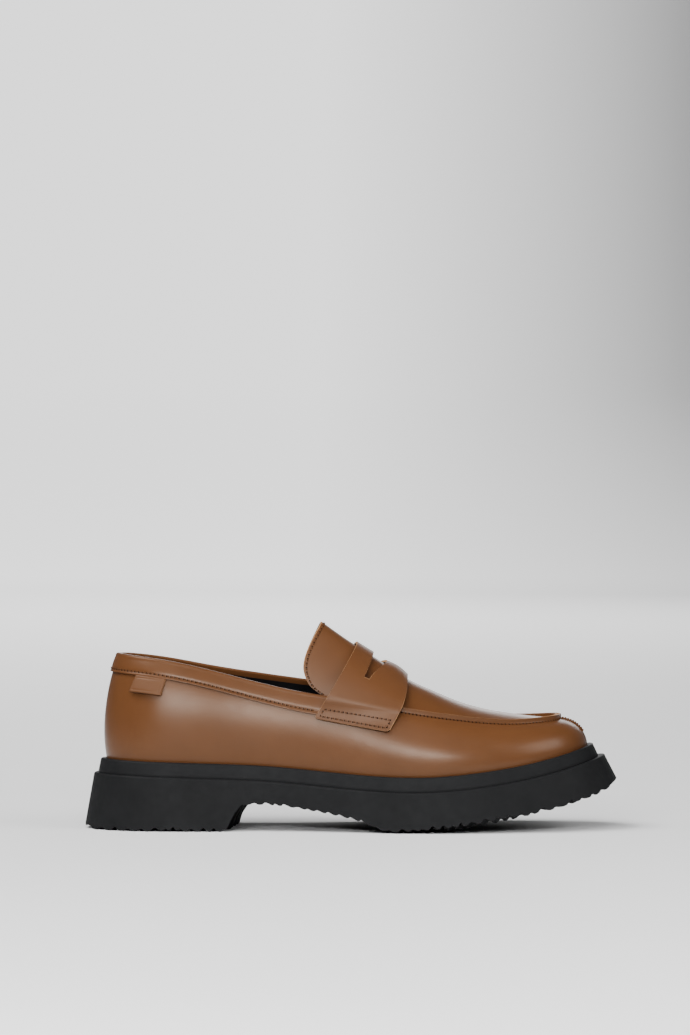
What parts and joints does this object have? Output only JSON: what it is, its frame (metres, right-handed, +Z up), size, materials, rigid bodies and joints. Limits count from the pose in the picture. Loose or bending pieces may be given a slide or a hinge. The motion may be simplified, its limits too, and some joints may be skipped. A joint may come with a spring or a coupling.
{
  "type": "penny loafer",
  "caption": "Right-foot slip-on loafer: moccasin toe seam, slotted saddle strap, high tongue, stitched collar band, on a chunky ribbed rubber sole with a separate heel.",
  "frame": {"origin": "on the ground, under the middle of the shoe's box", "axes": "+X towards the toe, +Y towards the inner (medial) side, +Z up from the ground"},
  "size_m": [0.3136, 0.1162, 0.1199],
  "materials": {
    "tan_leather": "smooth, semi-gloss box calf",
    "black_lining": "matt fine-grain lining",
    "tan_thread": "waxed sewing thread",
    "black_rubber": "matt moulded",
    "black_foam": "matt fine-textured",
    "board_fibre": "pressed fibre board",
    "stiff_board": "thermoplastic stiffener sheet",
    "spring_steel": "plain rolled"
  },
  "bodies": {
    "shoe": {"lateral_upper": "tan_leather", "medial_upper": "tan_leather", "apron": "tan_leather", "penny_strap": "tan_leather", "collar_band": "tan_leather", "quarter_lining": "black_lining", "vamp_lining": "black_lining", "apron_lining": "black_lining", "collar_thread": "tan_thread", "apron_thread": "tan_thread", "toe_seam_thread": "tan_thread", "strap_thread_lateral": "tan_thread", "strap_thread_medial": "tan_thread", "heel_counter": "stiff_board", "toe_puff": "stiff_board", "insole_board": "board_fibre", "bottom_filler": "board_fibre", "shank": "spring_steel", "midsole": "black_foam", "outsole": "black_rubber"},
    "footbed": {"footbed": "black_foam", "footbed_cover": "black_lining"},
    "tongue": {"tongue": "tan_leather", "tongue_lining": "black_lining", "tongue_thread": "tan_thread"},
    "side_tab": {"side_tab": "tan_leather"}
  },
  "joints": [
    {"name": "tongue_lift", "type": "hinge", "parent": "shoe", "child": "tongue", "pos_m": [0.00652, 0, 0.10427], "axis": [0, 1, 0], "range_deg": [0, 12]},
    {"name": "footbed_lift", "type": "hinge", "parent": "shoe", "child": "footbed", "pos_m": [0.12621, 0, 0.04734], "axis": [0, 1, 0], "range_deg": [0, 5]},
    {"name": "tab_lift", "type": "hinge", "parent": "shoe", "child": "side_tab", "pos_m": [-0.12232, -0.02467, 0.0898], "axis": [-0.9142, 0.3933, 0.0974], "range_deg": [0, 60]}
  ]
}
